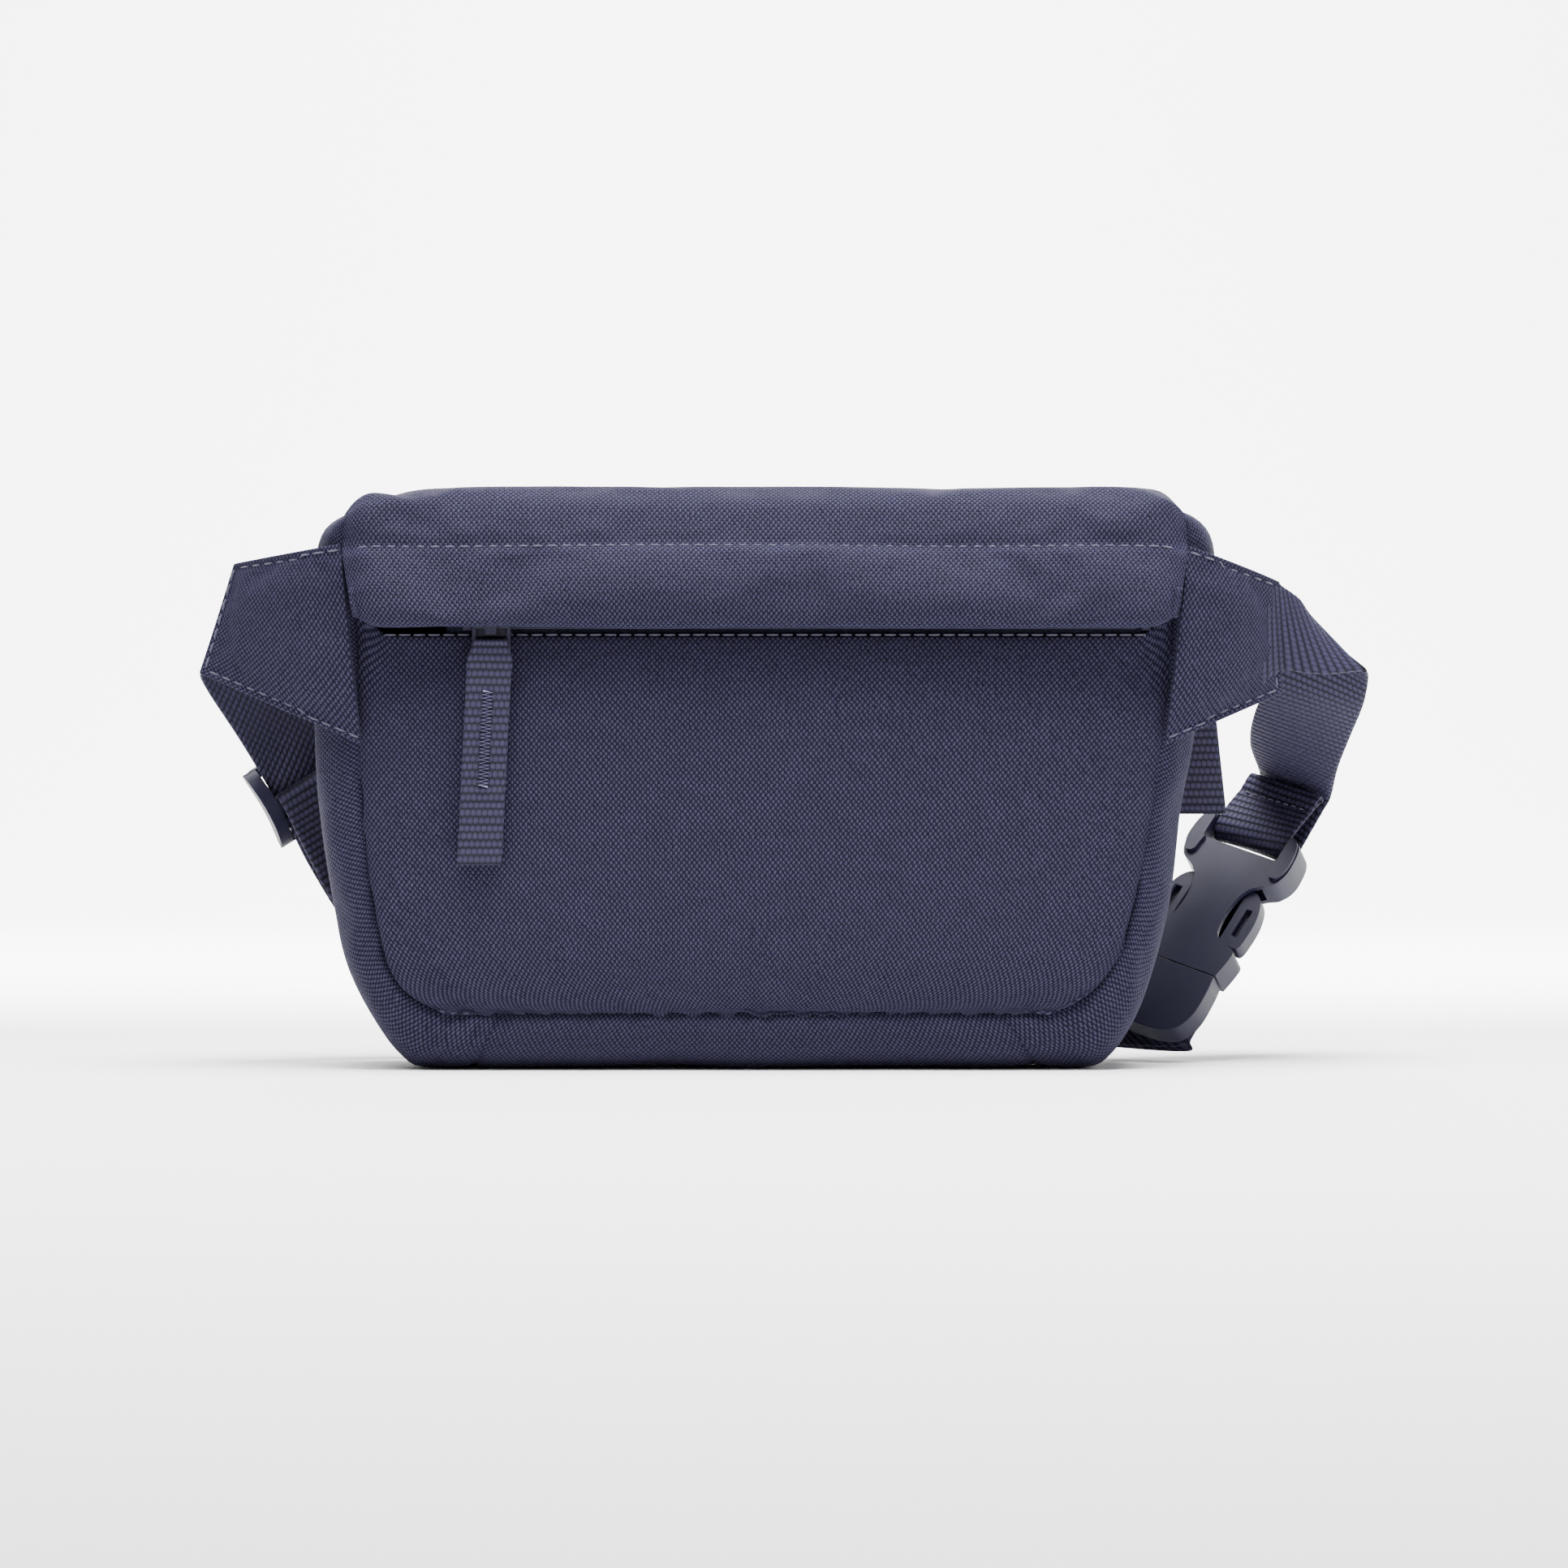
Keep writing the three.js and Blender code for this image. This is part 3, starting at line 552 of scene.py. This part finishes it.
# ---------------------------------------------------------------- stitching
def stitches(name, path, outward, body, length=3.2, space=0.9, thick=THREAD):
    """A row of thread stitches on a path: each is a small bowed bead whose ends dip into the cloth."""
    path = np.asarray(path, float)
    outward = np.asarray(outward, float)
    along = np.concatenate([[0], np.cumsum(np.linalg.norm(np.diff(path, axis=0), axis=1))])
    count = max(1, int(along[-1] // (length + space)))
    made = bmesh.new()
    for k in range(count):
        start = (k + 0.5) * along[-1] / count - length / 2
        rings = []
        for r in range(7):
            share = r / 6
            s = start + length * share
            point = np.array([np.interp(s, along, path[:, a]) for a in range(3)])
            ahead = np.array([np.interp(s + 0.3, along, path[:, a]) - np.interp(s - 0.3, along, path[:, a])
                              for a in range(3)])
            up = np.array([np.interp(s, along, outward[:, a]) for a in range(3)])
            ahead /= max(np.linalg.norm(ahead), 1e-9)
            side = np.cross(ahead, up)
            side /= max(np.linalg.norm(side), 1e-9)
            swell = math.sin(math.pi * (0.12 + 0.76 * share))
            centre = point + up * (thick * (1.15 * swell - 0.75))
            radius = thick * (0.35 + 0.35 * swell)
            rings.append([made.verts.new((centre + radius * (math.cos(a) * side + math.sin(a) * up)) * MM)
                          for a in np.linspace(0, 2 * math.pi, 8, endpoint=False)])
        for a, b in zip(rings, rings[1:]):
            for i in range(8):
                made.faces.new((a[i], a[(i + 1) % 8], b[(i + 1) % 8], b[i]))
        made.faces.new(rings[0][::-1])
        made.faces.new(rings[-1])
    bmesh.ops.recalc_face_normals(made, faces=made.faces)
    mesh = bpy.data.meshes.new(name)
    made.to_mesh(mesh)
    made.free()
    mesh.polygons.foreach_set("use_smooth", [True] * len(mesh.polygons))
    mesh.materials.append(STITCHING)
    obj = bpy.data.objects.new(name, mesh)
    bpy.context.scene.collection.objects.link(obj)
    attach(obj, body)


def stitch_row(name, grid, z, body, inset):
    """A level row of stitches across a front panel's grid, with its outward side towards the front."""
    j = int(np.argmin(np.abs(grid[len(grid) // 2, :, 2] - z)))
    path = grid[inset:-inset, j]
    stitches(name, path, np.tile([0.0, -1.0, 0.0], (len(path), 1)), body)


# ---------------------------------------------------------------- wings
WINGS = {
    "left": {"seam": ((-113.8, 92), (-119.6, 148.6)), "end": ((-161.4, 112.4), (-151, 143.6))},
    "right": {"seam": ((113.4, 92), (119.6, 148.2)), "end": ((147.8, 106.8), (147, 138.6))},
}
WING_SEAM_Y, WING_SWEEP = -29.8, 17.4


def wing_middle(wing, u, v):
    root = np.array(wing["seam"][0]) * (1 - v) + np.array(wing["seam"][1]) * v
    end = np.array(wing["end"][0]) * (1 - v) + np.array(wing["end"][1]) * v
    x, z = root * (1 - u) + end * u
    return np.array([x, WING_SEAM_Y + WING_SWEEP * u**1.5, z])


def build_wing(side):
    wing = WINGS[side]
    sign = -1 if side == "left" else 1
    us, vs = with_edges(30, (0.012, 0.03, 0.05, 0.07)), with_edges(30, (0.012, 0.03, 0.05, 0.07))
    middle = np.array([[wing_middle(wing, u, v) for v in vs] for u in us])
    n = normals_of(middle) * sign
    n = np.where(n[:, :, 1:2] > 0, -n, n)
    u_len, v_len = lengths(middle, 0), lengths(middle, 1)
    edge = np.minimum(np.minimum(v_len, v_len[:, -1:] - v_len), u_len[-1:] - u_len)
    loft = 0.7 + 1.5 * smooth((edge - 2.2) / 9) - 0.55 * np.exp(-(((edge - 2.1) / 0.7) ** 2))
    loft = loft * (0.75 + 0.25 * smooth(u_len / 10))
    loft = np.where(edge < 0.3, 0.25, loft)
    middle = middle + n * (waves(middle, 21 if side == "left" else 22, 40, 0.7))[:, :, None]
    front, back = middle + n * loft[:, :, None], middle - n * loft[:, :, None]
    free = (edge > 2.8) & (u_len > 1)
    front = settle(front[::sign], ~free[::sign], 0.9)[::sign]
    layers = (("face", front, CANVAS, "canvas"), ("backing", back, LINING, "lining"))
    for part, grid, material, slot in layers:
        outward = 1 if part == "face" else -1
        shown = grid if sign * outward > 0 else grid[::-1]
        obj = grid_object(f"wing_{side}_{part}_cloth", shown, material, 0.2)
        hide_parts(f"wing_{side}_{part}", *([f"wing_{side}_foam"] if part == "face" else []))
        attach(obj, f"wing_{side}")
    edge_stitch(side, front, n, us, vs)


def edge_stitch(side, front, n, us, vs):
    """Topstitching just inside the wing's three free edges."""
    u_len, v_len = lengths(front, 0), lengths(front, 1)
    inset = 2.1

    def row(points):
        path = np.array([front[i, j] for i, j in points])
        return path, np.array([n[i, j] for i, j in points])

    def inset_index(run, from_end):
        return int(np.argmin(np.abs((run[-1] - run if from_end else run) - inset)))

    low = [(i, inset_index(v_len[i], False)) for i in range(len(us)) if u_len[i, 0] < u_len[-1, 0] - inset]
    top = [(i, inset_index(v_len[i], True)) for i in range(len(us)) if u_len[i, -1] < u_len[-1, -1] - inset]
    end_i = inset_index(u_len[:, len(vs) // 2], True)
    out = [(end_i, j) for j in range(low[-1][1], top[-1][1] + 1)]
    for name, points in (("foot", low), ("top", top), ("end", out)):
        path, up = row(points)
        stitches(f"wing_{side}_{name}_stitches", path, up, f"wing_{side}")


# ---------------------------------------------------------------- straps
def unit(v):
    return v / np.linalg.norm(v)


def basis(centre, down, across):
    """A frame as in the buckle: x across, y against the strap's run, z out of the piece's front."""
    down = unit(np.array(down, float))
    across = np.array(across, float)
    across = unit(across - down * (across @ down))
    return np.array(centre, float), across, -down, np.cross(down, across)


BUCKLE_AT = basis((129, 40.5, 38.7), (-0.524, -0.35, -0.777), (0.787, -0.5465, -0.285))
ADJUSTER_AT = basis((-132.9, 31.6, 81), (0.43, 0.31, -0.85), (0.8, 0.3, 0.52))


def place(at, x, y, z):
    centre, across, up, out = at
    return centre + x * across + y * up + z * out


HALF = WEBBING_WIDTH / 2
REAR_RUN = [
    ((-133.4, 38.4, 55), (-113.4, 45, 68.4)),
    ((-123, 41, 38), (-103.5, 46.5, 52.4)),
    ((-108, 43, 18.5), (-92.5, 47, 37.6)),
    ((-82, 43.2, 7), (-75, 46.6, 30.8)),
    ((-45, 43, 4.2), (-43, 46, 28.9)),
    ((0, 43.4, 4), (0, 46, 28.8)),
    ((40, 45, 4.2), (39, 46.4, 29)),
    ((66, 46, 4.6), (63, 46.4, 29)),
    ((92, 45, 3.8), (84, 48, 23.6)),
]


def run_layer(offset):
    """The rear run's stations, moved off it by offset along its normal."""
    stations = np.array(REAR_RUN, float)
    middle = stations.mean(axis=1)
    moved = []
    for i, (foot, top) in enumerate(stations):
        ahead = middle[min(i + 1, len(middle) - 1)] - middle[max(i - 1, 0)]
        shift = unit(np.cross(ahead, top - foot)) * offset
        moved.append((foot + shift, top + shift))
    return moved


def adjuster_stations(points):
    return [(place(ADJUSTER_AT, -HALF, y, z), place(ADJUSTER_AT, HALF, y, z)) for y, z in points]


def buckle_stations(points):
    return [(place(BUCKLE_AT, HALF, y, z), place(BUCKLE_AT, -HALF, y, z)) for y, z in points]


def wing_stations(side, shares, behind, edges=(0.12, 0.88)):
    shift = np.array([0, behind, 0])
    return [tuple(wing_middle(WINGS[side], u, v) + shift for v in edges) for u in shares]


def rib_relief(sheet, rib, yarn, height):
    """Height of woven ribs: rows across the strap, each of round yarns, the next row half a yarn on."""
    along = np.median(lengths(sheet, 0), axis=1, keepdims=True)
    across = np.median(lengths(sheet, 1), axis=0, keepdims=True)
    row = np.abs(np.sin(math.pi * along / rib)) ** 0.8
    shift = 0.5 * (np.floor(along / rib) % 2)
    yarns = np.abs(np.cos(math.pi * (across / yarn + shift))) ** 0.7
    return height * (row * (0.45 + 0.55 * yarns) - 0.6)


def strap(name, stations, step, *replaced, thickness=WEBBING_THICKNESS, ribs=None):
    """A closed strap of webbing lofted along pairs of edge points, with rounded selvedges."""
    edges = [np.array(side, float) for side in zip(*stations)]
    length = max(np.linalg.norm(np.diff(e, axis=0), axis=1).sum() for e in edges)
    low, high = (spline(e, int(length / step)) for e in edges)
    count = 33 if ribs else 9
    shares = np.concatenate([[0, 0.012, 0.04], np.linspace(0.08, 0.92, count), [0.96, 0.988, 1]])
    sheet = np.stack([low * (1 - s) + high * s for s in shares], axis=1)
    n = normals_of(sheet)
    half = thickness / 2 * np.array([0.35, 0.75] + [1] * (count + 2) + [0.75, 0.35])
    relief = rib_relief(sheet, *ribs) if ribs else np.zeros(sheet.shape[:2])
    front = sheet + n * (half[None, :] + relief)[:, :, None]
    back = sheet - n * (half[None, :] + relief)[:, :, None]
    ring = np.concatenate([front, back[:, ::-1], front[:, :1]], axis=1)
    obj = grid_object(name, ring, WEBBING, 0, 0)
    mesh = obj.data
    made = bmesh.new()
    made.from_mesh(mesh)
    bmesh.ops.remove_doubles(made, verts=made.verts, dist=1e-7)
    bmesh.ops.holes_fill(made, edges=[e for e in made.edges if e.is_boundary], sides=0)
    bmesh.ops.recalc_face_normals(made, faces=made.faces)
    made.to_mesh(mesh)
    made.free()
    mesh.polygons.foreach_set("use_smooth", [True] * len(mesh.polygons))
    if not ribs:
        finer = obj.modifiers.new("finer", "SUBSURF")
        finer.levels = finer.render_levels = 1
    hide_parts(*replaced)
    return obj, sheet


RIBS = (2.2, 1.6, 0.16)


def build_belt():
    lead = wing_stations("left", (0.6, 0.8, 0.93), 4.7) + [
        ((-161.6, -5, 112.4), (-153, -3.6, 136.6)),
        ((-160.6, 2, 107.6), (-148.6, 4.6, 129.4)),
        ((-153, 14, 94.2), (-136.4, 18.6, 112)),
    ]
    clip_loop = buckle_stations([
        (-36, -8.6), (-32, -8.6), (-25, -7.6), (-21.7, -3.4), (-22.2, 0.7), (-25.4, 2.5), (-28.6, 0.5),
        (-29.7, -2.8), (-32.4, -5.4), (-36, -5.8),
    ])
    through_adjuster = adjuster_stations([(9, 0), (0, 0), (-9, 0)])
    belt = lead + through_adjuster + run_layer(-1.6) + clip_loop + run_layer(1.6)[::-1]
    obj, _ = strap("belt_webbing_strap", belt, 1.1, "belt_webbing")
    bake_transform(obj)
    sewn = adjuster_stations([(-23, 3.4), (-16, 3.2), (-9, 4), (-4, 5.2), (0, 5.4), (2.8, 4.4), (2.9, 2.4)])
    obj, _ = strap("belt_sewn_end_strap", sewn, 0.4, "belt_sewn_end", ribs=RIBS)
    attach(obj, "adjuster")


def build_fixed_strap():
    upper = wing_stations("right", (0.8,), 0) + wing_stations("right", (0.98, 1.02), 0, (0.2, 0.97))
    upper += [((160, -8, 112.2), (152.4, -8.2, 134.2)), ((172, -1, 113.4), (154.4, -3, 131))]
    obj, _ = strap("fixed_strap_upper_webbing", upper, 0.4, "fixed_strap_upper", ribs=RIBS)
    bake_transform(obj)
    lower = [
        ((173.4, 1.4, 113.4), (153.6, -0.4, 129)),
        ((174.6, 7, 111), (151.4, 4.6, 123)),
        ((174, 14, 104), (147, 13, 111)),
        ((171.6, 28, 94.6), (144, 31, 102)),
        ((169.4, 41, 85.4), (144.4, 50, 93)),
    ]
    loop = buckle_stations([
        (55.4, -2.6), (50, -3), (42, -3.6), (35.4, -4), (31.2, -3.2), (29.2, 0), (31.2, 3.2), (35.4, 4),
        (42, 3), (51, 0.8),
    ])
    obj, sheet = strap("fixed_strap_lower_webbing", lower + loop, 0.4, "fixed_strap_lower", ribs=RIBS)
    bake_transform(obj)
    build_hem(sheet)


def build_hem(sheet):
    """The strap's end is turned over once into a thick roll, with a row of stitches under it."""
    away = lengths(sheet, 0)[-1, 16] - lengths(sheet, 0)[:, 16]
    end = sheet[-1]
    out = place(BUCKLE_AT, 0, 0, 1) - place(BUCKLE_AT, 0, 0, 0)
    up = place(BUCKLE_AT, 0, 1, 0) - place(BUCKLE_AT, 0, 0, 0)
    stations = [(end[0] + out * h + up * t, end[-1] + out * h + up * t) for t, h in (
        (-4.6, 1.5), (-2.4, 1.6), (-0.6, 1.7), (0.9, 1.4), (1.5, 0.4), (1.2, -0.7), (0.6, -1.1))]
    obj, _ = strap("fixed_strap_hem", stations, 0.4, ribs=RIBS, thickness=1.0)
    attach(obj, "receiver")
    row = int(np.argmin(np.abs(away - 5.6)))
    path = sheet[row, 3:-3] + out * 1.0
    stitches("fixed_strap_hem_stitches", path, np.tile(out, (len(path), 1)), "receiver", 1.5, 0.9)


def build_side_loop():
    hang = [
        (30.4, 118), (33, 108), (34.4, 90), (34.8, 76), (36.2, 72.6), (37.6, 76), (37.4, 90), (36, 108),
        (33.4, 118),
    ]
    side = [((107 + (108 - z) * 0.11, y, z), (132 + (108 - z) * 0.11, y, z)) for y, z in hang]
    obj, _ = strap("side_loop_webbing", side, 0.5, "side_loop", ribs=RIBS)
    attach(obj, "pouch")
    for k, z in enumerate((110, 114)):
        path = [(x, 34.2 - 0.08 * (z - 110), z) for x in np.linspace(106.5, 117.5, 12)]
        stitches(f"side_loop_stitches_{k}", path, np.tile([0.0, 1.0, 0.0], (12, 1)), "pouch", 1.8, 0.8)


# ---------------------------------------------------------------- zip pull
def pull_share(z):
    return (z - PULL_FOOT_Z) / (PULL_TOP_Z - PULL_FOOT_Z)


def pull_middle(z):
    """x of the pull's middle line, which leans to the left towards its foot."""
    return SLIDER_X - PULL_LEAN * (1 - pull_share(z))


def build_pull():
    """A folded strip of narrow ribbed webbing: its two layers meet in the fold at the foot."""
    def station(z, y):
        half = PULL_WIDTH / 2 * (1 - 0.28 * max(0, (pull_share(z) - 0.93) / 0.07))
        return (pull_middle(z) - half, y, z), (pull_middle(z) + half, y, z)

    def bow(z):
        return -32.5 - 0.7 * math.sin(math.pi * (z - PULL_FOOT_Z) / (PULL_TOP_Z - PULL_FOOT_Z))

    down = [station(z, bow(z) - 0.62) for z in np.linspace(PULL_TOP_Z, PULL_FOOT_Z + 1.5, 12)]
    back = [station(z, bow(z) + 0.62) for z in np.linspace(PULL_FOOT_Z + 1.5, PULL_TOP_Z, 12)]
    fold = [station(PULL_FOOT_Z + 0.3, -32.9), station(PULL_FOOT_Z + 0.3, -32.1)]
    stations = down + fold + back
    obj, _ = strap("pull_tab_webbing", stations, 0.32, "pull_tab", thickness=0.9, ribs=(1.6, 1.6, 0.13))
    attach(obj, "pull")
    bartack()


def bartack():
    """The dense zigzag seam that holds the folded pull together, down its middle."""
    path = []
    for k in range(54):
        z = 107 - 27 * k / 53
        y = -34.0 - 0.62 * math.sin(math.pi * (z - PULL_FOOT_Z) / (PULL_TOP_Z - PULL_FOOT_Z))
        path.append((pull_middle(z) + (1.3 if k % 2 else -1.3), y, z))
    thread_run("pull_bartack", path, 0.28, "pull")


def thread_run(name, path, radius, body):
    """One continuous sewn thread along a path, as a round tube."""
    data = bpy.data.curves.new(name, "CURVE")
    data.dimensions = "3D"
    data.bevel_depth = radius * MM
    data.bevel_resolution = 2
    line = data.splines.new("POLY")
    line.points.add(len(path) - 1)
    for point, (x, y, z) in zip(line.points, path):
        point.co = (x * MM, y * MM, z * MM, 1)
    temporary = bpy.data.objects.new(name + "_line", data)
    bpy.context.scene.collection.objects.link(temporary)
    mesh = bpy.data.meshes.new_from_object(temporary)
    bpy.data.objects.remove(temporary)
    mesh.materials.clear()
    mesh.materials.append(BARTACK_THREAD)
    mesh.polygons.foreach_set("use_smooth", [True] * len(mesh.polygons))
    obj = bpy.data.objects.new(name, mesh)
    bpy.context.scene.collection.objects.link(obj)
    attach(obj, body)


def sewn_end_bartacks():
    """Three short thick bars of thread across the sewn end of the belt, below the adjuster."""
    for k, x in enumerate((-1.5, 3.5, 8.5)):
        path = []
        for step in range(13):
            across = x + 3.2 * step / 12
            point = place(ADJUSTER_AT, across, -13.2 + 0.5 * (step % 2), 4.4)
            path.append(tuple(point))
        thread_run(f"sewn_end_bartack_{k}", path, 0.42, "adjuster")


# ---------------------------------------------------------------- carried-over frame pieces
def soften(name, body, width=0.9):
    """A moulded piece with rolled edges in the place of its frame node."""
    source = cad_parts[name]
    obj = source.copy()
    obj.data = source.data.copy()
    obj.name = name + "_moulding"
    bpy.context.scene.collection.objects.link(obj)
    weld = bmesh.new()
    weld.from_mesh(obj.data)
    bmesh.ops.remove_doubles(weld, verts=weld.verts, dist=1e-6)
    bmesh.ops.dissolve_limit(weld, angle_limit=math.radians(1), verts=weld.verts, edges=weld.edges)
    weld.to_mesh(obj.data)
    weld.free()
    obj.data.materials.clear()
    obj.data.materials.append(BUCKLE)
    obj.data.polygons.foreach_set("use_smooth", [True] * len(obj.data.polygons))
    edge = obj.modifiers.new("rolled_edges", "BEVEL")
    edge.width = width * MM
    edge.segments = 4
    edge.limit_method = "ANGLE"
    edge.angle_limit = math.radians(35)
    even = obj.modifiers.new("even_shading", "WEIGHTED_NORMAL")
    even.keep_sharp = False
    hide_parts(name)
    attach(obj, body)


def finish_hard_pieces():
    soften("buckle_receiver", "receiver", 1.3)
    soften("buckle_clip", "pouch", 0.9)
    soften("buckle_arm_left", "arm_left", 1.0)
    soften("buckle_arm_right", "arm_right", 1.0)
    soften("slide_adjuster", "adjuster", 0.9)
    soften("zip_slider", "slider", 0.3)
    soften("pull_link", "pull", 0.3)
    looks = {
        "zip_tape": ZIP_TAPE, "zip_coil": BUCKLE, "zip_stop": BUCKLE, "lining_bag": LINING,
        "back_foam_pad": LINING, "zip_facing": CANVAS,
    }
    for name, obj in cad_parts.items():
        for start, material in looks.items():
            if name.startswith(start):
                obj.data.materials.clear()
                obj.data.materials.append(material)


# ---------------------------------------------------------------- camera, light, floor
def look_at(obj, target):
    obj.rotation_euler = (Vector(target) - obj.location).to_track_quat("-Z", "Y").to_euler()


def build_stage():
    camera = bpy.data.objects.new("camera", bpy.data.cameras.new("camera"))
    camera.location = Vector((CAMERA_X, -CAMERA_DISTANCE, CAMERA_Z)) * MM
    camera.rotation_euler = (math.pi / 2, 0, 0)
    camera.data.lens, camera.data.sensor_width = LENS, SENSOR
    camera.data.clip_start = 0.05
    bpy.context.scene.collection.objects.link(camera)
    bpy.context.scene.camera = camera

    build_floor()
    world = bpy.data.worlds.new("studio")
    bpy.context.scene.world = world
    world.use_nodes = True
    world.node_tree.nodes["Background"].inputs[0].default_value = rgb(0.97, 0.98, 1)
    world.node_tree.nodes["Background"].inputs[1].default_value = 0.13

    for name, place_at, aim, size, power in (
        ("key", (-0.35, -0.55, 1.15), (0, 0, 0.1), 0.7, 16),
        ("top", (0.1, -0.15, 1.2), (0, 0, 0.1), 0.7, 66),
        ("right_rim", (0.9, -0.5, 0.5), (0.1, 0, 0.1), 0.6, 5),
        ("backdrop", (0, 0.9, 1.6), (0, 3.4, 0.5), 2.5, 400),
    ):
        light = bpy.data.lights.new(name, "AREA")
        light.size, light.energy = size, power
        lamp = bpy.data.objects.new(name, light)
        lamp.location = place_at
        look_at(lamp, aim)
        bpy.context.scene.collection.objects.link(lamp)


def build_floor():
    """A pale floor that curves up into the wall behind."""
    section = [(-4, 0), (1.6, 0)]
    turn = np.linspace(0.1, math.pi / 2, 14)
    section += [(1.6 + 1.4 * math.sin(a), 1.4 - 1.4 * math.cos(a)) for a in turn]
    section += [(3.0, 4.0)]
    verts = [(side * 5, y, z) for y, z in section for side in (-1, 1)]
    faces = [(2 * i, 2 * i + 1, 2 * i + 3, 2 * i + 2) for i in range(len(section) - 1)]
    mesh = bpy.data.meshes.new("floor")
    mesh.from_pydata(verts, [], faces)
    mesh.polygons.foreach_set("use_smooth", [True] * len(mesh.polygons))
    pale = Shader("pale_floor")
    pale.set(Base_Color=rgb(0.93, 0.93, 0.93), Roughness=0.9)
    mesh.materials.append(pale.material)
    floor = bpy.data.objects.new("floor", mesh)
    bpy.context.scene.collection.objects.link(floor)
    floor.location.z = -0.0004


build_stage()
build_gussets()
build_panels()
build_hood()
for wing_side in WINGS:
    build_wing(wing_side)
build_belt()
build_fixed_strap()
build_side_loop()
build_pull()
sewn_end_bartacks()
finish_hard_pieces()

bpy.context.view_layer.update()
